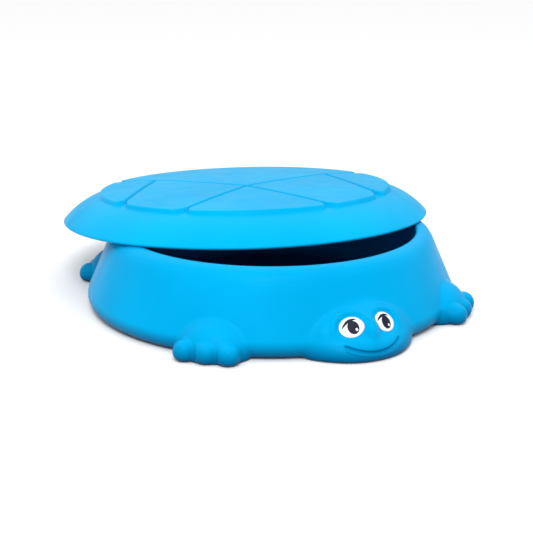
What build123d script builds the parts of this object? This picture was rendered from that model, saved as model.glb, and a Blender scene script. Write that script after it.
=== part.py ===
from build123d import *
import os
from math import asin, atan, cos, degrees, radians, sin, sqrt, tan

# Turtle sandbox with a lift-off shell lid. Millimetres, +Z up, the head towards -Y.
# Origin: the middle of the tub's flat underside, on the ground.
# The tub and the lid are each one hollow moulding with a closed skin all round.
# At rest the lid lies ajar: pushed back towards the tail, its lip on the rim at two
# points and its underside on the tail side of the rim.

# ---- driving dimensions ----
skin = 3.0  # thickness of the moulded skin

rim_height = 175.0
opening_radius = 336.0  # basin at the rim
basin_floor_radius = 325.0
basin_floor_height = 14.0
wall_top_radius = 365.5  # where the sloping wall would meet the top of the rim
wall_foot_radius = 442.5  # where the sloping wall would meet the ground
shoulder_round = 34.0
rim_inner_round = 8.0
foot_round = 28.0
basin_round = 25.0

mound_back = 20.0  # how far a head or foot mound goes back past its middle, in the wall
skull_radii = (130.0, 61.0, 90.0)
jaw_radii = (116.0, 91.0, 43.0)
head_ring = 392.0  # distance of the head's middle from the tub's centre
head_centre_height = 12.0
nose_radii = (12.0, 28.0, 34.0)
nose_centre = (0.0, -437.0, 52.0)
mouth_width = 122.0
mouth_low = 20.0  # height of the middle of the smile
mouth_rise = 11.5  # how much higher its corners are
mouth_groove = 5.0
mouth_depth = 4.0

front_foot_angle = 43.5  # from the head, to both sides
rear_foot_angle = 139.0
rear_foot_reach = 16.0  # how much farther out the rear feet stand
foot_radii = (78.0, 70.0, 76.0)
foot_ring = 400.0
toe_radius = 25.0
toe_height = 18.0
toe_ring = 450.0
toe_step = 6.1  # degrees between neighbouring toes
toes_per_foot = 3

eye_size = (52.0, 43.0)
eye_offset = 40.0  # from the middle of the face
eye_height = 67.0
eye_droop = 10.0  # degrees by which an eye's outer end hangs
sticker_thickness = 0.4
sticker_gap = 0.05  # the adhesive

lid_radius = 446.0
lip_height = 5.0  # height of the lid's widest line above its lowest one
lip_seat_radius = 440.0  # the lowest line of the lip
lip_inner_radius = 431.0
plate_field_radius = 358.0
plate_root = 12.0  # how far the plates' solids start below the top of the brim
brim_top = 60.0
brim_middle = (408.0, 37.5)
deck_crown = 70.0  # the grooves' floor at the middle of the lid
plate_step = 10.0  # how far the shell plates stand above the brim
underside_height = 32.0
underside_radius = 384.0
groove_width = 9.0
notch_width = 34.0  # a groove's mouth at the edge of the plates
notch_length = 26.0

# The shell pattern, as shares of the plate field's radius and angles from its front.
hub_forward = 0.16
rear_node_forward = -0.36
rear_node_side = 0.61
front_notch_angle = 28.0
side_notch_angle = 57.0
rear_notch_angle = 117.0

slide_back = 196.0  # how far the lid has been pushed back
slide_heading = -8.5  # degrees from the head's direction
lid_twist = -21.0
rest_gap = 1.3

# ---- worked out from the driving dimensions ----
crest_radius = opening_radius + rim_inner_round
lip_cross = (lip_seat_radius**2 - crest_radius**2 - slide_back**2) / (2 * slide_back)
lid_tilt = atan(underside_height / (lip_cross + crest_radius))
lid_centre_height = rim_height + rest_gap - (lip_cross + slide_back) * tan(lid_tilt)
mouth_radius = (mouth_width**2 / 4 + mouth_rise**2) / (2 * mouth_rise)
plate_foot = brim_top - plate_root


# ---- shapes that the mouldings share ----
def heading(angle, radius):
    """The point at a radius from the Z axis, at an angle from the head's direction."""
    return (radius * sin(radians(angle)), -radius * cos(radians(angle)))


def egg(radii, inset):
    """An ellipsoid drawn in by the inset."""
    with BuildPart() as shape:
        Sphere(1)
        scale(by=tuple(r - inset for r in radii))
    return shape.part


def mound(radii, centre_height, inset):
    """An ellipsoid that faces -Y, its back in the wall cut off, level at the ground."""
    depth = 2 * radii[1]
    with BuildPart() as half:
        with Locations((0, 0, centre_height)):
            add(egg(radii, inset))
        with Locations((0, mound_back - depth / 2, inset + depth / 2)):
            Box(4 * radii[0], depth, depth, mode=Mode.INTERSECT)
    return half.part


def toe(inset):
    """A ball cut off level at the ground."""
    with BuildPart() as cut_ball:
        with Locations((0, 0, toe_height)):
            Sphere(toe_radius - inset)
        with Locations((0, 0, inset + toe_radius)):
            Box(4 * toe_radius, 4 * toe_radius, 2 * toe_radius, mode=Mode.INTERSECT)
    return cut_ball.part


def foot(inset):
    """A mound with toes along its front, its own middle at the tub's centre."""
    with BuildPart() as built:
        with Locations((0, -foot_ring, 0)):
            add(mound(foot_radii, 0, inset))
        for k in range(toes_per_foot):
            turn = (k - (toes_per_foot - 1) / 2) * toe_step
            with Locations((*heading(turn, toe_ring), 0)):
                add(toe(inset))
    return built.part


def limbs(inset):
    """Skull, jaw, nose and four feet, drawn in by the inset all round."""
    with BuildPart() as built:
        with Locations((0, -head_ring, 0)):
            add(mound(skull_radii, head_centre_height, inset))
            add(mound(jaw_radii, head_centre_height, inset))
        with Locations(nose_centre):
            add(egg(nose_radii, inset))
        for angle, reach in ((front_foot_angle, 0), (rear_foot_angle, rear_foot_reach)):
            for turn in (-angle, angle):
                with Locations(Location((0, 0, 0), (0, 0, turn)) * Location((0, -reach, 0))):
                    add(foot(inset))
    return built.part


def basin(grow):
    """The space inside the tub, grown by an allowance all round."""
    top = rim_height + 40
    with BuildPart() as space:
        with BuildSketch(Plane.XZ):
            with BuildLine():
                FilletPolyline(
                    (0, basin_floor_height - grow),
                    (basin_floor_radius + grow, basin_floor_height - grow),
                    (opening_radius + grow, top),
                    radius=basin_round + grow,
                )
                Polyline(
                    (opening_radius + grow, top),
                    (0, top),
                    (0, basin_floor_height - grow),
                )
            make_face()
        revolve(axis=Axis.Z)
    return space.part


def smile(grow):
    """The mouth's curved groove, wider, longer and deeper by an allowance."""
    half_sweep = degrees(asin(mouth_width / 2 / mouth_radius) + grow / mouth_radius)
    with BuildPart() as band:
        with BuildSketch(Plane.XZ.offset(head_ring)):
            with BuildLine():
                CenterArc(
                    (0, mouth_low + mouth_radius),
                    mouth_radius,
                    270 - half_sweep,
                    2 * half_sweep,
                )
            trace(line_width=mouth_groove + 2 * grow)
        extrude(amount=2 * jaw_radii[1])
        with Locations((0, -head_ring, head_centre_height)):
            add(egg(skull_radii, mouth_depth + grow), mode=Mode.SUBTRACT)
            add(egg(jaw_radii, mouth_depth + grow), mode=Mode.SUBTRACT)
    return band.part


def eye_plane(side):
    """The plane that touches the face at the middle of an eye, side -1 or 1."""
    across, along, up = skull_radii
    x = side * eye_offset
    z = eye_height - head_centre_height
    y = -along * sqrt(1 - (x / across) ** 2 - (z / up) ** 2)
    outward = Vector(x / across**2, y / along**2, z / up**2)
    level = outward.cross(Vector(0, 0, 1)).rotate(Axis((0, 0, 0), outward), -side * eye_droop)
    middle = (x, y - head_ring, z + head_centre_height)
    return Plane(origin=middle, x_dir=level, z_dir=outward)


def eye_sticker(side):
    """A thin oval that follows the face."""
    reach = max(eye_size)
    with BuildPart() as sticker:
        with BuildSketch(eye_plane(side)):
            Ellipse(eye_size[0] / 2, eye_size[1] / 2)
        extrude(amount=reach, both=True)
        with Locations((0, -head_ring, head_centre_height)):
            outside = -sticker_gap - sticker_thickness
            add(egg(skull_radii, outside), mode=Mode.INTERSECT)
            add(egg(skull_radii, -sticker_gap), mode=Mode.SUBTRACT)
    return sticker.part


# The lid's shapes stand upright about its own middle, the lip's lowest line at height 0.
def plate_point(forward, side):
    """A point of the shell pattern, given as shares of the plate field's radius."""
    return (side * plate_field_radius, -forward * plate_field_radius)


def dome_line(radius, crown, edge):
    """Three points of a dome's section, a circle whose centre is on the lid's axis."""
    drop = crown - edge
    dome_radius = (radius**2 + drop**2) / (2 * drop)
    half_way = crown - dome_radius + sqrt(dome_radius**2 - radius**2 / 4)
    return [(0, crown), (radius / 2, half_way), (radius, edge)]


def dome(radius, crown, edge, bottom):
    """A disc with a gently domed top, by its height at the middle and at the edge."""
    with BuildPart() as disc:
        with BuildSketch(Plane.XZ):
            with BuildLine():
                ThreePointArc(*dome_line(radius, crown, edge))
                Polyline((radius, edge), (radius, bottom), (0, bottom), (0, crown))
            make_face()
        revolve(axis=Axis.Z)
    return disc.part


def groove_lines(grow):
    """The grooves' centre lines, each run on past both ends by half a groove's width."""
    hub = plate_point(hub_forward, 0)
    outside = plate_field_radius + notch_width
    ends = []
    for side in (-1, 1):
        node = plate_point(rear_node_forward, side * rear_node_side)
        ends.append((hub, node))
        ends.append((hub, heading(side * front_notch_angle, outside)))
        ends.append((node, heading(side * side_notch_angle, outside)))
        ends.append((node, heading(side * rear_notch_angle, outside)))
    lines = []
    for start, end in ends:
        run_on = (Vector(*end) - Vector(*start)).normalized() * (groove_width / 2 + grow)
        lines.append((Vector(*start) - run_on, Vector(*end) + run_on))
    return lines


def notch(angle, grow):
    """The wedge where a groove opens at the edge of the plates."""
    reach = notch_length + grow
    spread = degrees((notch_width / 2 + grow) / plate_field_radius)
    tip = heading(angle, plate_field_radius - reach)
    sides = [heading(angle + turn, plate_field_radius + 1) for turn in (-spread, spread)]
    return [tip, *sides]


def shell_plates(inset):
    """The raised plates of the shell, drawn in by the inset on every side."""
    top = deck_crown + plate_step - inset
    edge = brim_top + plate_step - inset
    base = Plane.XY.offset(plate_foot)
    with BuildPart() as plates:
        add(dome(plate_field_radius - inset, top, edge, plate_foot))
        for start, end in groove_lines(inset):
            with BuildSketch(base):
                with BuildLine():
                    Line(start, end)
                trace(line_width=groove_width + 2 * inset)
            extrude(amount=top, mode=Mode.SUBTRACT)
        for angle in (front_notch_angle, side_notch_angle, rear_notch_angle):
            for turn in (-angle, angle):
                with BuildSketch(base):
                    with BuildLine():
                        Polyline(*notch(turn, inset), close=True)
                    make_face()
                extrude(amount=top, mode=Mode.SUBTRACT)
    return plates.part


# ---- tub ----
with BuildPart() as wall_ring:
    with BuildSketch(Plane.XZ) as wall_profile:
        with BuildLine():
            FilletPolyline(
                (0, 0),
                (wall_foot_radius, 0),
                (wall_top_radius, rim_height),
                (opening_radius, rim_height),
                (basin_floor_radius, basin_floor_height),
                (0, basin_floor_height),
                radius=[foot_round, shoulder_round, rim_inner_round, basin_round],
            )
            Line((0, basin_floor_height), (0, 0))
        make_face()
    revolve(axis=Axis.Z)

# The hollow inside the skin, from the same profile drawn in on every side.
with BuildPart() as wall_hollow:
    with BuildSketch(Plane.XZ):
        add(wall_profile.sketch_local)
        mirror(about=Plane.YZ)
        offset(amount=-skin)
        split(bisect_by=Plane.YZ)
    revolve(axis=Axis.Z)

with BuildPart() as tub_hollow:
    add(limbs(skin))
    add(basin(skin), mode=Mode.SUBTRACT)
    add(smile(skin), mode=Mode.SUBTRACT)
    add(wall_hollow.part)

with BuildPart() as tub:
    add(limbs(0))
    add(wall_ring.part)
    add(basin(0), mode=Mode.SUBTRACT)
    add(smile(0), mode=Mode.SUBTRACT)
    add(tub_hollow.part, mode=Mode.SUBTRACT)
tub.part.label = "tub"


# ---- lid ----
with BuildPart() as lid_body:
    with BuildSketch(Plane.XZ) as lid_profile:
        with BuildLine():
            ThreePointArc(*dome_line(plate_field_radius, deck_crown, brim_top))
            ThreePointArc(
                (plate_field_radius, brim_top), brim_middle, (lid_radius, lip_height)
            )
            lip_low = (lip_seat_radius, 0)
            inner_lip = (lip_inner_radius, lip_height)
            outer_bend = (lid_radius - 2, lip_height * 0.3)
            inner_bend = (lip_inner_radius + 2, lip_height * 0.3)
            ThreePointArc((lid_radius, lip_height), outer_bend, lip_low)
            ThreePointArc(lip_low, inner_bend, inner_lip)
            Polyline(inner_lip, (underside_radius, underside_height), (0, underside_height))
            Line((0, underside_height), (0, deck_crown))
        make_face()
    revolve(axis=Axis.Z)

with BuildPart() as lid_hollow:
    with BuildSketch(Plane.XZ):
        add(lid_profile.sketch_local)
        mirror(about=Plane.YZ)
        offset(amount=-skin)
        split(bisect_by=Plane.YZ)
    revolve(axis=Axis.Z)

with BuildPart() as upright_lid:
    add(lid_body.part)
    add(shell_plates(0))
    add(lid_hollow.part, mode=Mode.SUBTRACT)
    add(shell_plates(skin), mode=Mode.SUBTRACT)

lid_middle = heading(slide_heading + 180, slide_back)
ajar = Location((*lid_middle, lid_centre_height))
ajar *= Location((0, 0, 0), (0, 0, slide_heading))
ajar *= Location((0, 0, 0), (-degrees(lid_tilt), 0, 0))
ajar *= Location((0, 0, 0), (0, 0, lid_twist - slide_heading))
with BuildPart() as lid:
    with Locations(ajar):
        add(upright_lid.part)
lid.part.label = "lid"


# ---- the parts' files ----
os.makedirs("parts", exist_ok=True)
export_step(tub.part, "parts/tub.step")
export_step(lid.part, "parts/lid.step")
for side, name in ((-1, "eye_sticker_right"), (1, "eye_sticker_left")):
    sticker = eye_sticker(side)
    sticker.label = name
    export_step(sticker, f"parts/{name}.step")
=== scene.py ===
from math import atan2, ceil, cos, hypot, pi, radians, sin, tan

import bmesh
import bpy
import numpy as np
from mathutils import Matrix, Vector
from mathutils.geometry import delaunay_2d_cdt


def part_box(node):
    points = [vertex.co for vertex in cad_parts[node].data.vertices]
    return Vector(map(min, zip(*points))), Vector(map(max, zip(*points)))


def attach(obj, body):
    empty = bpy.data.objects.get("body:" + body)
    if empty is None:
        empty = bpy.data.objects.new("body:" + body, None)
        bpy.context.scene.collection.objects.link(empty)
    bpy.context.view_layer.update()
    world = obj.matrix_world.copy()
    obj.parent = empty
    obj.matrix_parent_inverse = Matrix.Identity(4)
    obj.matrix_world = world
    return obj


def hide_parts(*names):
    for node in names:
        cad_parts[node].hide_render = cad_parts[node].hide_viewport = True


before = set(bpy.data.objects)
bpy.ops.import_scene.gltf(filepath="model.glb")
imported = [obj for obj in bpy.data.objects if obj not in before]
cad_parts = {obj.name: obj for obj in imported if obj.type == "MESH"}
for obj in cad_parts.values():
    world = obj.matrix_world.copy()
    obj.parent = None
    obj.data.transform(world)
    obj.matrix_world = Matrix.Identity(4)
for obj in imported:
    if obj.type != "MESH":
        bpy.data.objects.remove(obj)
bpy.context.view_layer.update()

# The looks of a turtle sandbox: its tub, its shell lid and two printed eye stickers.
# Shapes are worked out in millimetres in the frame's axes, +Z up and the head towards -Y,
# and become meshes in metres.
MM = 0.001


def node_box(node):
    """A CAD node's lowest and highest corners, in millimetres."""
    low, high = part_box(node)
    return low / MM, high / MM


# ---- the tub's sizes ----
rim_height = node_box("tub")[1].z
opening_radius = 336.0
basin_floor_radius = 325.0
basin_floor_height = 14.0
wall_top_radius = 365.5  # where the sloping wall would meet the top of the rim
wall_foot_radius = 442.5  # where it would meet the ground
shoulder_round = 34.0
rim_inner_round = 7.0
foot_round = 28.0
basin_round = 25.0

skull_radii = (130.0, 61.0, 90.0)
jaw_radii = (116.0, 88.5, 45.0)
jaw_blend = 16.0
head_ring = 392.0
head_height = 12.0
nose_radii = (17.0, 28.0, 30.0)
nose_place = (435.0, 50.0)  # outward and up
nose_blend = 12.0

feet = ((-139.0, 16.0), (-44.0, 0.0), (44.0, 0.0), (139.0, 16.0))  # angle, added reach
foot_radii = (83.0, 66.0, 78.0)
foot_ring = 400.0
toe_radius = 25.5
toe_height = 18.0
toe_ring = 450.0
toe_turns = (-5.9, 0.0, 5.9)
toe_blend = 4.0

ground_round = 9.0  # where head and feet meet the ground
limb_blend = 8.0  # between wall and limbs, at most
limb_blend_least = 0.05  # at the ground
limb_blend_rise = 0.6  # its growth with height

mouth_width = 122.0
mouth_low = 20.0
mouth_rise = 11.5
mouth_groove = (6.0, 2.8)  # depth and half width
mouth_fade = 4.0  # the length over which its ends run out
lower_lip = (2.3, 2.2)  # height and half width
lower_lip_drop = 5.5  # below the mouth's line

eye_size = (52.0, 43.0)
eye_droop = 10.0  # degrees by which an eye's outer end hangs
recess_depth = 4.5  # of the hollow that each eye lies in
recess_margin = 4.0  # round the sticker
recess_edge = (1.03, 0.06)  # where it ends and how softly, as shares of its oval
recess_low_share = 0.25  # of the depth, below the eye
recess_turn_out = 0.1  # added depth for each millimetre outward
brow_height = 2.2
brow_edge = (1.32, 0.17)  # its middle and half width, as shares of the hollow's oval
brow_softness = 10.0  # how slowly it dies out down the sides of the eye
sticker_thickness = 0.4
sticker_gap = 0.2

# ---- the lid's sizes, about its own middle, the lowest line of its lip at height 0 ----
lid_twist = -21.0
lip_height = 5.0
lip_seat_radius = 440.0
lip_inner_radius = 431.0
lip_bend = (2.0, 0.3)  # the bend's distance in from its end, and its share of the height
plate_field_radius = 358.0
brim_top = 60.0
brim_middle = (408.0, 37.5)
deck_crown = 70.0
deck_margin = 6.0  # how far the deck's own mesh goes past the plates
plate_step = 10.0
plate_flank = 5.0
plate_roundness = 2.4  # power of the flank's curve
plate_corner = 1.2  # how softly a plate's edges meet
underside_height = 32.0
underside_radius = 384.0
underside_round = 10.0
groove_half = 2.0
notch_half = 19.0
notch_length = 34.0
notch_power = 1.8
notch_flare = 1.4  # how far a notch keeps widening, as a share of its length
hub = (0.0, 0.16)  # sideways and forward, as shares of the plate field's radius
rear_node = (0.61, -0.36)
notch_angles = (28.0, 57.0, 117.0)

# ---- mesh spacing ----
COARSE = 8.0
head_spacing = 1.0
foot_spacing = 2.0
plate_spacing = 2.0
plate_fine_margins = (4.0, 2.0)  # round a plate's flank, outside and inside
path_step = 3.0
tub_columns = 336
lid_columns = 400


# ---- shapes as distance functions on arrays of points ----
def soft_min(a, b, blend):
    """The union of two shapes, blended over a width."""
    h = np.clip(0.5 + 0.5 * (b - a) / blend, 0, 1)
    return b + (a - b) * h - blend * h * (1 - h)


def soft_max(a, b, blend):
    """The overlap of two shapes, blended over a width."""
    return -soft_min(-a, -b, blend)


def bell(offset, half_width):
    """A smooth bump of height 1 about zero."""
    return np.exp(-((offset / half_width) ** 2))


def egg_distance(u, v, w, radii):
    """About the distance from an ellipsoid at the origin."""
    a, b, c = radii
    near = np.sqrt((u / a) ** 2 + (v / b) ** 2 + (w / c) ** 2) + 1e-9
    steep = np.sqrt((u / a**2) ** 2 + (v / b**2) ** 2 + (w / c**2) ** 2) + 1e-9
    return near * (near - 1) / steep


def round_corner(first, second, cosine, radius):
    """The overlap of two half planes, given as distances, with a round corner."""
    sine2 = 1 - cosine**2
    a, b = first + radius, second + radius
    along_a = (a - b * cosine) / sine2
    along_b = (b - a * cosine) / sine2
    corner = np.sqrt(np.maximum(a * a + b * b - 2 * a * b * cosine, 0) / sine2) - radius
    return np.where((along_a > 0) & (along_b > 0), corner, np.maximum(first, second))


def heading(angle, radius):
    """The point at a radius, at an angle in degrees from the head's direction."""
    return Vector((radius * sin(radians(angle)), -radius * cos(radians(angle))))


def limb_axes(x, y, angle):
    """Sideways and outward distances, facing an angle from the head."""
    s, c = sin(radians(angle)), cos(radians(angle))
    return x * c + y * s, x * s - y * c


def along(x, y, z, start, direction):
    """How far points lie from a start, measured along a direction."""
    across = (x - start.x) * direction.x + (y - start.y) * direction.y
    return across + (z - start.z) * direction.z


# The sloping wall's outward normal, outward and up.
wall_slope = Vector((rim_height, wall_foot_radius - wall_top_radius)).normalized()


def wall_distance(r, z):
    """The distance from the tub's round wall, by radius and height."""
    side = (r - wall_foot_radius) * wall_slope.x + z * wall_slope.y
    top = round_corner(side, z - rim_height, wall_slope.y, shoulder_round)
    return np.maximum(top, round_corner(side, -z, -wall_slope.y, foot_round))


def foot_distance(x, y, z, angle, reach):
    """About the distance from a foot and its toes."""
    u, v = limb_axes(x, y, angle)
    v = v - reach
    foot = egg_distance(u, v - foot_ring, z, foot_radii)
    for turn in toe_turns:
        side, back = heading(turn, toe_ring)
        toe = np.sqrt((u - side) ** 2 + (v + back) ** 2 + (z - toe_height) ** 2)
        foot = soft_min(foot, toe - toe_radius, toe_blend)
    return foot


def smile_distance(u, z):
    """How far above the mouth's line, and how far past its ends."""
    radius = (mouth_width**2 / 4 + mouth_rise**2) / (2 * mouth_rise)
    high = z - mouth_low - radius
    angle = np.arctan2(u, -high)
    half = atan2(mouth_width / 2, radius - mouth_rise)
    return radius - np.hypot(u, high), np.maximum(np.abs(angle) - half, 0) * radius


def eye_axes(side, node):
    """An eye's middle, and its long, short and outward directions."""
    low, high = node_box(node)
    middle = (low + high) / 2
    across, deep, up = skull_radii
    outward = Vector((middle.x / across**2, (middle.y + head_ring) / deep**2, 0))
    outward.z = (middle.z - head_height) / up**2
    outward.normalize()
    level = Vector((0, 0, 1)).cross(outward).normalized()
    level = Matrix.Rotation(radians(-side * eye_droop), 3, outward) @ level
    return middle, level, outward.cross(level), outward


eyes = {-1: eye_axes(-1, "eye_sticker_right"), 1: eye_axes(1, "eye_sticker_left")}


def recess(x, y, z):
    """How deep the hollows round the eyes are, less the brows above them."""
    half_long, half_short = (size / 2 + recess_margin for size in eye_size)
    edge, softness = recess_edge
    brow_middle, brow_width = brow_edge
    depth = 0
    for side, (middle, level, upward, _) in eyes.items():
        a = along(x, y, z, middle, level)
        b = along(x, y, z, middle, upward)
        out = np.hypot(a / half_long, b / half_short)
        upper = 0.5 + 0.5 * np.tanh(b / brow_softness)
        hollow = 1 / (1 + np.exp((out - edge) / softness))
        depth_here = (recess_low_share + (1 - recess_low_share) * upper) * recess_depth
        hollow *= depth_here + recess_turn_out * side * a
        depth = depth + hollow - bell(out - brow_middle, brow_width) * upper * brow_height
    return depth


def head_distance(x, y, z):
    """About the distance from the head, with its smile and its eye hollows."""
    skull = egg_distance(x, -y - head_ring, z - head_height, skull_radii)
    jaw = egg_distance(x, -y - head_ring, z - head_height, jaw_radii)
    head = soft_min(skull, jaw, jaw_blend)
    nose = egg_distance(x, -y - nose_place[0], z - nose_place[1], nose_radii)
    head = soft_min(head, nose, nose_blend)
    above, past = smile_distance(x, z)
    groove = mouth_groove[0] * bell(above, mouth_groove[1])
    lip = lower_lip[0] * bell(above + lower_lip_drop, lower_lip[1])
    return head + bell(past, mouth_fade) * (groove - lip) + recess(x, y, z)


def tub_distance(x, y, z):
    """Below zero inside the tub, were it solid, above zero outside it."""
    limbs = head_distance(x, y, z)
    for angle, reach in feet:
        limbs = np.minimum(limbs, foot_distance(x, y, z, angle, reach))
    limbs = soft_max(limbs, -z, ground_round)
    blend = np.clip(limb_blend_rise * z, limb_blend_least, limb_blend)
    return soft_min(wall_distance(np.hypot(x, y), z), limbs, blend)


# ---- rays that find the tub's outside ----
ray_steps = 60
ray_share = 0.7  # of the distance still to go, taken by each step


def march(point_at, start, count):
    """Where rays, followed back from a start outside the tub, reach its outside."""
    reach = np.full(count, start)
    for _ in range(ray_steps):
        places = point_at(reach)
        reach -= ray_share * tub_distance(*places)
    return np.column_stack(places)


# ---- meshes ----
def make_object(name, points, faces, material):
    """A smooth object from points in millimetres, its shells welded."""
    mesh = bpy.data.meshes.new(name)
    mesh.from_pydata((np.array(points) * MM).tolist(), [], faces)
    work = bmesh.new()
    work.from_mesh(mesh)
    bmesh.ops.remove_doubles(work, verts=work.verts, dist=0.02 * MM)
    bmesh.ops.recalc_face_normals(work, faces=work.faces)
    work.to_mesh(mesh)
    work.free()
    mesh.polygons.foreach_set("use_smooth", [True] * len(mesh.polygons))
    mesh.materials.append(material)
    made = bpy.data.objects.new(name, mesh)
    bpy.context.scene.collection.objects.link(made)
    return made


def graded_points(low, high, finest, wanted):
    """Points on a square grid that gets finer where wanted(x, y) asks for it."""
    spacing, kept = COARSE, []
    while spacing > finest * 0.99:
        xs = np.arange(low[0], high[0] + 0.001, spacing)
        ys = np.arange(low[1], high[1] + 0.001, spacing)
        gx, gy = (g.ravel() for g in np.meshgrid(xs, ys))
        keep = (wanted(gx, gy) <= spacing * 1.01) | (spacing == COARSE)
        kept.append(np.column_stack([gx[keep], gy[keep]]))
        spacing /= 2
    return np.unique(np.round(np.vstack(kept), 4), axis=0)


def everywhere(x, y):
    """Asks for the finest grid all over."""
    return 0 * x


def triangulate(points):
    """Points and triangles that fill their outline."""
    found = delaunay_2d_cdt([Vector(p) for p in points.tolist()], [], [], 0, 1e-5, False)
    return np.array([tuple(p) for p in found[0]]), found[2]


def circle(radius, columns):
    """Points round a circle in the plane, from the head's direction on."""
    turn = 2 * pi * np.arange(columns) / columns
    return np.column_stack([radius * np.sin(turn), -radius * np.cos(turn)])


def spin(path, columns):
    """Rings of points about the Z axis and the quads between them."""
    rings = [np.column_stack([circle(r, columns), np.full(columns, z)]) for r, z in path]
    faces = []
    for row in range(len(path) - 1):
        for k in range(columns):
            n = (k + 1) % columns
            low, high = row * columns, (row + 1) * columns
            faces.append((low + k, low + n, high + n, high + k))
    return np.vstack(rings), faces


def disc(radius, height, columns):
    """A flat disc whose outline has a ring's points."""
    filling = graded_points((-radius, -radius), (radius, radius), COARSE, everywhere)
    filling = filling[np.hypot(*filling.T) < radius - COARSE]
    points, faces = triangulate(np.vstack([circle(radius, columns), filling]))
    return np.column_stack([points, np.full(len(points), height)]), faces


def joined(*shells):
    """Several lists of points and faces as one."""
    points, faces, count = [], [], 0
    for more, their_faces in shells:
        points.append(more)
        faces += [tuple(count + k for k in face) for face in their_faces]
        count += len(more)
    return np.vstack(points), faces


def fillet(corner, before, after, radius):
    """Points of a round corner of a path in two dimensions."""
    corner = Vector(corner)
    one = (Vector(before) - corner).normalized()
    two = (Vector(after) - corner).normalized()
    half = one.angle(two) / 2
    centre = corner + (one + two).normalized() * (radius / sin(half))
    start = corner + one * (radius / tan(half)) - centre
    end = corner + two * (radius / tan(half)) - centre
    first = atan2(start.y, start.x)
    sweep = (atan2(end.y, end.x) - first + pi) % (2 * pi) - pi
    count = max(4, round(abs(sweep) * radius / path_step))
    angles = [first + sweep * k / count for k in range(count + 1)]
    return [centre + radius * Vector((cos(a), sin(a))) for a in angles]


def rounded_path(corners, radii):
    """A path with round inner corners, its straight runs divided."""
    path = [Vector(corners[0])]
    for k, radius in enumerate(radii, 1):
        path += fillet(corners[k], corners[k - 1], corners[k + 1], radius)
    path.append(Vector(corners[-1]))
    fine = [path[0]]
    for a, b in zip(path, path[1:]):
        parts = max(1, round((b - a).length / (3 * path_step)))
        fine += [a.lerp(b, k / parts) for k in range(1, parts + 1)]
    return fine


def circle_through(a, b, c):
    """Centre and radius of the circle through three points."""
    a, b, c = Vector(a), Vector(b), Vector(c)
    one, two = b - a, c - a
    cross = 2 * (one.x * two.y - one.y * two.x)
    x = (two.y * one.length_squared - one.y * two.length_squared) / cross
    y = (one.x * two.length_squared - two.x * one.length_squared) / cross
    return a + Vector((x, y)), hypot(x, y)


def arc(a, b, c, count):
    """Points along the arc from a through b to c."""
    centre, radius = circle_through(a, b, c)
    spokes = [Vector(p) - centre for p in (a, b, c)]
    first, middle, last = (atan2(s.y, s.x) for s in spokes)
    sweep = (last - first) % (2 * pi)
    if (middle - first) % (2 * pi) > sweep:
        sweep -= 2 * pi
    angles = [first + sweep * k / count for k in range(count + 1)]
    return [centre + radius * Vector((cos(t), sin(t))) for t in angles]


# ---- tub ----
# Its outside is seen from a ring inside the wall: each point is where a ray from that
# ring, at a turn about the Z axis and a rise above the ground, leaves the tub. Turn and
# rise are the two sides of a flat sheet, which is meshed first.
core_radius = 352.0
core_height = 22.0
core_reach = 170.0  # to well outside the tub
wall_lean = wall_slope.angle(Vector((1, 0)))
flat_radius = wall_foot_radius - foot_round * tan((pi / 2 + wall_lean) / 2)
crest_radius = opening_radius + 8
lowest_rise = atan2(-core_height, flat_radius - core_radius)
highest_rise = atan2(rim_height - core_height, crest_radius - core_radius)
sheet_width = tub_columns * COARSE
sheet_height = 26 * COARSE
per_turn = sheet_width / (2 * pi)
per_rise = sheet_height / (highest_rise - lowest_rise)

# Where the mesh is fine: the turn to each side, and the rise, in degrees.
head_span = (16, 56)
foot_span = (12, 46)
rise_share = 0.6  # what a degree of rise counts, against a degree of turn
spacing_growth = 2.0  # millimetres for each degree outside a span
under_rise = -16
under_spacing = 4.0  # under the wall's foot


def cast(turn, rise):
    """Where rays from the core ring leave the tub."""

    def point_at(reach):
        r = core_radius + reach * np.cos(rise)
        return r * np.sin(turn), -r * np.cos(turn), core_height + reach * np.sin(rise)

    return march(point_at, core_reach, len(turn))


def span_spacing(turn, rise, span, finest):
    """The spacing wanted in a span and round it."""
    outside = np.maximum(np.abs(turn) - span[0], (rise - span[1]) * rise_share)
    return finest + np.maximum(outside, 0) * spacing_growth


def tub_spacing(across, up):
    """How fine the mesh has to be, by place on the sheet."""
    turn = np.degrees(across / per_turn)
    rise = np.degrees(up / per_rise + lowest_rise)
    wanted = span_spacing(turn, rise, head_span, head_spacing)
    for angle, _ in feet:
        near_foot = span_spacing(turn - angle, rise, foot_span, foot_spacing)
        wanted = np.minimum(wanted, near_foot)
    return np.where(rise < under_rise, np.maximum(wanted, under_spacing), wanted)


def build_tub(material):
    half = sheet_width / 2
    sheet = graded_points((-half, 0), (half, sheet_height), head_spacing, tub_spacing)
    sheet, faces = triangulate(sheet)
    outside = cast(sheet[:, 0] / per_turn, sheet[:, 1] / per_rise + lowest_rise)
    corners = [
        (crest_radius, rim_height),
        (opening_radius, rim_height),
        (basin_floor_radius, basin_floor_height),
        (basin_floor_radius - 2 * basin_round, basin_floor_height),
    ]
    basin = rounded_path(corners, [rim_inner_round, basin_round])
    floor = disc(basin[-1].x, basin_floor_height, tub_columns)
    under = disc(flat_radius, 0, tub_columns)
    shells = joined((outside, faces), spin(basin, tub_columns), floor, under)
    return make_object("tub_moulding", *shells, material)


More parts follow.
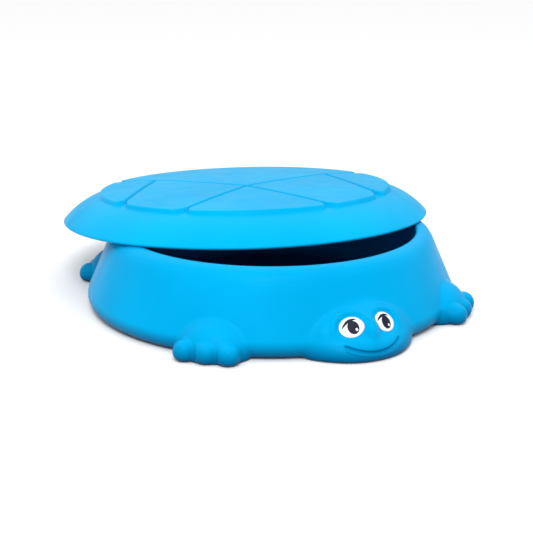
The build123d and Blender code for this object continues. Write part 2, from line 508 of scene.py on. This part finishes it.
# ---- lid ----
def lid_placement():
    """Where the lid lies, from its CAD node, and its radius."""
    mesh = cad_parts["lid"].data
    down = [p for p in mesh.polygons if p.normal.z < -0.9]
    lid_up = -max(down, key=lambda p: p.area).normal
    upright = Vector((0, 0, 1)).rotation_difference(lid_up).to_matrix()
    local = np.array([upright.transposed() @ v.co for v in mesh.vertices]) / MM
    low, high = local.min(0), local.max(0)
    middle = upright @ Vector(((low[0] + high[0]) / 2, (low[1] + high[1]) / 2, low[2]))
    place = Matrix.Translation(middle * MM) @ upright.to_4x4()
    return place @ Matrix.Rotation(radians(lid_twist), 4, "Z"), (high[0] - low[0]) / 2


lid_place, lid_radius = lid_placement()
brim_arc = ((plate_field_radius, brim_top), brim_middle, (lid_radius, lip_height))


def plate_point(side, forward):
    """A point of the deck, from shares of the plate field's radius."""
    return Vector((side * plate_field_radius, -forward * plate_field_radius))


def groove_lines():
    """Each groove's inner end, outer end, and whether it opens at the plates' edge."""
    front, side, rear = notch_angles
    lines = []
    for hand in (-1, 1):
        node = plate_point(hand * rear_node[0], rear_node[1])
        lines.append((plate_point(*hub), node, False))
        lines.append((plate_point(*hub), heading(hand * front, plate_field_radius), True))
        lines.append((node, heading(hand * side, plate_field_radius), True))
        lines.append((node, heading(hand * rear, plate_field_radius), True))
    return lines


def plate_inset(x, y):
    """How far inside a plate's foot a point of the deck is."""
    from_edge = plate_field_radius - np.hypot(x, y)
    inset = from_edge
    for start, end, opens in groove_lines():
        way = (end - start).normalized()
        length = (end - start).length
        t = (x - start.x) * way.x + (y - start.y) * way.y
        off = (y - start.y) * way.x - (x - start.x) * way.y
        past = np.maximum(-t, 0)
        width = groove_half
        if opens:
            open_share = np.clip(1 - from_edge / notch_length, 0, notch_flare)
            width = groove_half + (notch_half - groove_half) * open_share**notch_power
        else:
            past = np.maximum(past, t - length)
        inset = soft_min(inset, np.hypot(off, past) - width, plate_corner)
    return inset


def deck_height(x, y):
    """The height of the lid's top: a low dome, the brim round it and the raised plates."""
    r = np.hypot(x, y)
    drop = deck_crown - brim_top
    dome = (plate_field_radius**2 + drop**2) / (2 * drop)
    deck = deck_crown - dome + np.sqrt(dome**2 - np.minimum(r, plate_field_radius) ** 2)
    centre, radius = circle_through(*brim_arc)
    brim = centre.y + np.sqrt(np.maximum(radius**2 - (r - centre.x) ** 2, 0))
    base = np.where(r < plate_field_radius, deck, brim)
    rise = np.clip(plate_inset(x, y) / plate_flank, 0, 1)
    return base + plate_step * (1 - (1 - rise) ** plate_roundness)


def plate_mesh_spacing(x, y):
    """Fine on the plates' flanks, coarser away from them."""
    inset = plate_inset(x, y)
    outer, inner = plate_fine_margins
    past = np.maximum(np.maximum(-outer - inset, inset - plate_flank - inner), 0)
    return plate_spacing + past * 0.5


def lip_path():
    """The rolled lip, from the lid's widest line round to its inner side."""
    widest = (lid_radius, lip_height)
    seat = (lip_seat_radius, 0)
    inner = (lip_inner_radius, lip_height)
    bend_in, bend_share = lip_bend
    outer_bend = (lid_radius - bend_in, lip_height * bend_share)
    inner_bend = (lip_inner_radius + bend_in, lip_height * bend_share)
    return arc(widest, outer_bend, seat, 6)[1:] + arc(seat, inner_bend, inner, 6)[1:]


def build_lid(material):
    edge = plate_field_radius + deck_margin
    half = COARSE * ceil(edge / COARSE)
    flat = graded_points((-half, -half), (half, half), plate_spacing, plate_mesh_spacing)
    flat = flat[np.hypot(*flat.T) < edge - 2]
    flat, faces = triangulate(np.vstack([circle(edge, lid_columns), flat]))
    deck = np.column_stack([flat, deck_height(*flat.T)])
    deck_edge = Vector((edge, deck_height(np.array([edge]), np.array([0.0]))[0]))
    brim = [deck_edge] + [p for p in arc(*brim_arc, 30) if p.x > edge + 1]
    corners = [
        (lip_inner_radius, lip_height),
        (underside_radius, underside_height),
        (underside_radius - 3 * underside_round, underside_height),
    ]
    under = rounded_path(corners, [underside_round])[1:]
    rings = spin(brim + lip_path() + under, lid_columns)
    floor = disc(under[-1].x, underside_height, lid_columns)
    made = make_object("lid_shell", *joined((deck, faces), rings, floor), material)
    made.data.transform(lid_place)
    return made


# ---- eye stickers, sideways and up from the middle of the eye ----
pupil_centre = (3.4, -1.6)
pupil_radii = (12.2, 14.2)
glint_centre = (8.8, -7.5)
glint_radii = (2.6, 3.2)
# The dark line of the upper lid: points of its middle line, with half its width there.
lid_line = [
    (-20.2, 1.2, 0.5),
    (-16.5, 5.2, 1.6),
    (-11.7, 8.8, 2.3),
    (-6.5, 12.0, 2.8),
    (-1.0, 14.0, 3.0),
    (5.0, 14.8, 2.5),
    (10.0, 14.4, 1.6),
    (15.0, 13.0, 0.3),
]
sticker_columns = 96
sticker_spacing = 2.0
sticker_grid = (28.0, 24.0)  # half the size of the grid that is cut to the sticker
sticker_reach = 25.0  # from the middle of the eye to well outside the face


def oval(centre, radii, count):
    turn = 2 * pi * np.arange(count) / count
    across = centre[0] + radii[0] * np.cos(turn)
    return np.column_stack([across, centre[1] + radii[1] * np.sin(turn)])


def lid_line_outline():
    line, half_widths = np.hsplit(np.array(lid_line), [2])
    way = np.gradient(line, axis=0)
    way /= np.linalg.norm(way, axis=1)[:, None]
    off = np.column_stack([-way[:, 1], way[:, 0]]) * half_widths
    return np.vstack([line + off, (line - off)[::-1]])


def inside(points, outline):
    """Which points lie in a closed outline."""
    x, y = points[:, 0:1], points[:, 1:2]
    ax, ay = outline[:, 0], outline[:, 1]
    bx, by = np.roll(ax, -1), np.roll(ay, -1)
    crosses = (ay > y) != (by > y)
    at = ax + (y - ay) * (bx - ax) / np.where(by == ay, 1, by - ay)
    return (crosses & (x < at)).sum(1) % 2 == 1


def sticker_sheet(outlines):
    """Points and triangles of a flat sticker, with edges along its outlines."""
    width, height = sticker_grid
    grid = graded_points((-width, -height), (width, height), sticker_spacing, everywhere)
    shares = grid / (np.array(eye_size) / 2 - 1)
    grid = grid[(shares**2).sum(1) < 1]
    edges, points = [], []
    for outline in outlines:
        first, count = len(points), len(outline)
        edges += [(first + k, first + (k + 1) % count) for k in range(count)]
        points += outline.tolist()
    points += grid.tolist()
    found = delaunay_2d_cdt([Vector(p) for p in points], edges, [], 0, 1e-5, False)
    return np.array([tuple(p) for p in found[0]]), found[2]


def build_eye(side, node, white, black):
    """A sticker that follows the face, its print on faces of their own."""
    middle, level, upward, outward = (np.array(v) for v in eyes[side])
    rim = oval((0, 0), (eye_size[0] / 2, eye_size[1] / 2), sticker_columns)
    pupil = oval(pupil_centre, pupil_radii, 64)
    glint = oval(glint_centre, glint_radii, 32)
    line = lid_line_outline()
    flat, faces = sticker_sheet((rim, pupil, glint, line))
    base = middle + flat[:, :1] * level + flat[:, 1:2] * upward
    total = len(flat)
    at = march(lambda reach: (base + reach[:, None] * outward).T, sticker_reach, total)
    front = at + outward * (sticker_gap + sticker_thickness)
    back = at + outward * sticker_gap
    after = [(k + 1) % sticker_columns for k in range(sticker_columns)]
    sides = [(k, n, total + n, total + k) for k, n in enumerate(after)]
    faces = list(faces) + [tuple(total + k for k in face) for face in faces] + sides
    made = make_object(node + "_print", np.vstack([front, back]), faces, white)
    made.data.materials.append(black)
    polygons = made.data.polygons
    centres = np.array([p.center for p in polygons]) / MM - middle
    facing = np.array([p.normal for p in polygons]) @ outward
    spots = np.column_stack([centres @ level, centres @ upward])
    dark = (inside(spots, pupil) & ~inside(spots, glint)) | inside(spots, line)
    polygons.foreach_set("material_index", (dark & (facing > 0)).astype(np.int32))
    return made


# ---- materials ----
def grey(level):
    return (level, level, level)


def new_material(name, colour, roughness):
    material = bpy.data.materials.new(name)
    material.use_nodes = True
    shader = material.node_tree.nodes["Principled BSDF"]
    shader.inputs["Base Color"].default_value = (*colour, 1)
    shader.inputs["Roughness"].default_value = roughness
    return material, shader


def noise(tree, where, scale, detail):
    node = tree.nodes.new("ShaderNodeTexNoise")
    node.inputs["Scale"].default_value = scale
    node.inputs["Detail"].default_value = detail
    tree.links.new(where, node.inputs["Vector"])
    return node.outputs["Fac"]


def ramp(tree, value, low, high, first, last):
    """A value between two limits, mapped between two colours."""
    node = tree.nodes.new("ShaderNodeValToRGB")
    node.color_ramp.elements[0].position = low
    node.color_ramp.elements[1].position = high
    node.color_ramp.elements[0].color = (*first, 1)
    node.color_ramp.elements[1].color = (*last, 1)
    tree.links.new(value, node.inputs["Fac"])
    return node.outputs["Color"]


def height_of(tree, where):
    split = tree.nodes.new("ShaderNodeSeparateXYZ")
    tree.links.new(where, split.inputs[0])
    return split.outputs["Z"]


def multiplied(tree, first, second):
    """The product of two colours."""
    mix = tree.nodes.new("ShaderNodeMix")
    mix.data_type = "RGBA"
    mix.blend_type = "MULTIPLY"
    mix.inputs["Factor"].default_value = 1.0
    first_colour, second_colour, result = mix.inputs[6], mix.inputs[7], mix.outputs[2]
    tree.links.new(first, first_colour)
    tree.links.new(second, second_colour)
    return result


def bump(tree, height, strength, distance, before=None):
    node = tree.nodes.new("ShaderNodeBump")
    node.inputs["Strength"].default_value = strength
    node.inputs["Distance"].default_value = distance
    tree.links.new(height, node.inputs["Height"])
    if before is not None:
        tree.links.new(before, node.inputs["Normal"])
    return node.outputs["Normal"]


def moulded_plastic(name, colour, ground_shade_height=0.0):
    """Satin polyethylene: an uneven tint, a fine orange-peel skin, and painted shade that
    darkens the colour near the ground.
    """
    material, shader = new_material(name, colour, roughness=0.36)
    tree = material.node_tree
    where = tree.nodes.new("ShaderNodeTexCoord").outputs["Object"]
    cloudy = noise(tree, where, scale=5.0, detail=3.0)
    darker, lighter = [c * 0.94 for c in colour], [min(1, c * 1.05) for c in colour]
    tint = ramp(tree, cloudy, 0.3, 0.7, darker, lighter)
    if ground_shade_height:
        # Painted shade: the colour darkens towards the ground, standing in for the shadow
        # where the tub meets the floor.
        painted_shade_colour = (0.22, 0.22, 0.30)
        painted_shade_ramp = ramp(tree, height_of(tree, where), 0.0, ground_shade_height, painted_shade_colour, grey(1.0))
        tint = multiplied(tree, tint, painted_shade_ramp)
    tree.links.new(tint, shader.inputs["Base Color"])
    patchy = noise(tree, where, scale=22.0, detail=4.0)
    gloss = ramp(tree, patchy, 0.3, 0.7, grey(0.30), grey(0.42))
    tree.links.new(gloss, shader.inputs["Roughness"])
    swells = noise(tree, where, scale=45.0, detail=1.0)
    grain = noise(tree, where, scale=420.0, detail=2.0)
    waves = bump(tree, swells, strength=0.25, distance=0.0006)
    peel = bump(tree, grain, strength=0.25, distance=0.00015, before=waves)
    tree.links.new(peel, shader.inputs["Normal"])
    shader.inputs["IOR"].default_value = 1.12
    shader.inputs["Specular Tint"].default_value = (0.2, 0.7, 1.0, 1)
    return material


def print_material(name, colour, roughness):
    """Ink or white vinyl, faintly mottled."""
    material, shader = new_material(name, colour, roughness)
    tree = material.node_tree
    where = tree.nodes.new("ShaderNodeTexCoord").outputs["Object"]
    mottle = noise(tree, where, scale=60.0, detail=2.0)
    tint = ramp(tree, mottle, 0.3, 0.7, [c * 0.95 for c in colour], colour)
    tree.links.new(tint, shader.inputs["Base Color"])
    grain = noise(tree, where, scale=300.0, detail=1.0)
    tree.links.new(bump(tree, grain, strength=0.1, distance=0.0001), shader.inputs["Normal"])
    shader.inputs["Specular IOR Level"].default_value = 0.12
    return material


# ---- floor, light and camera ----
def build_floor():
    bpy.ops.mesh.primitive_plane_add(size=60, location=(0, 0, -0.0005))
    floor = bpy.context.object
    floor.name = "floor"
    material, shader = new_material("pale_floor", grey(0.68), roughness=0.9)
    shader.inputs["Specular IOR Level"].default_value = 0.1
    floor.data.materials.append(material)


def area_light(name, place, aim, size, power):
    light = bpy.data.lights.new(name, "AREA")
    light.shape = "DISK"
    light.size = size
    light.energy = power
    made = bpy.data.objects.new(name, light)
    made.location = place
    made.rotation_euler = (Vector(aim) - Vector(place)).to_track_quat("-Z", "Y").to_euler()
    bpy.context.scene.collection.objects.link(made)


def build_sky():
    """A soft box of light: bright overhead, dim towards the horizon."""
    world = bpy.data.worlds.new("studio")
    world.use_nodes = True
    tree = world.node_tree
    where = tree.nodes.new("ShaderNodeTexCoord").outputs["Generated"]
    sky = ramp(tree, height_of(tree, where), 0.1, 0.85, grey(0.30), grey(1.0))
    tree.links.new(sky, tree.nodes["Background"].inputs["Color"])
    tree.nodes["Background"].inputs["Strength"].default_value = 1.75
    return world


def build_camera(azimuth, distance, height, pitch, shift, lens):
    """A camera that looks towards the tub's axis from an azimuth, a little to one side."""
    turn = radians(azimuth)
    toward = Vector((sin(turn), -cos(turn), 0))
    right = Vector((cos(turn), sin(turn), 0))
    camera = bpy.data.cameras.new("camera")
    camera.lens = lens
    camera.sensor_width = 36
    made = bpy.data.objects.new("camera", camera)
    made.location = toward * distance - right * shift + Vector((0, 0, height))
    made.rotation_euler = (pi / 2 - radians(pitch), 0, turn)
    bpy.context.scene.collection.objects.link(made)
    bpy.context.scene.camera = made


# ---- the object ----
# The tub's colour carries painted shade over its lowest 40 mm.
tub_plastic = moulded_plastic("tub_polyethylene", (0.0, 0.265, 0.52), ground_shade_height=0.04)
lid_plastic = moulded_plastic("lid_polyethylene", (0.0, 0.30, 0.56))
white_print = print_material("eye_white", (0.60, 0.62, 0.66), roughness=0.4)
black_print = print_material("eye_black", (0.006, 0.008, 0.022), roughness=0.5)

tub = build_tub(tub_plastic)
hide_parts("tub")
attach(tub, "tub")

lid = build_lid(lid_plastic)
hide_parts("lid")
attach(lid, "lid")

for side, node in ((-1, "eye_sticker_right"), (1, "eye_sticker_left")):
    eye = build_eye(side, node, white_print, black_print)
    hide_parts(node)
    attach(eye, "tub")

# ---- the studio ----
build_floor()
area_light("front_panel", place=(-1.8, -3.0, 3.9), aim=(0, 0, 0.1), size=2.2, power=170)
bpy.context.scene.world = build_sky()
bpy.context.scene.view_settings.view_transform = "Standard"
build_camera(azimuth=-27.0, distance=2.6, height=0.846, pitch=16.55, shift=0.010, lens=77.8)
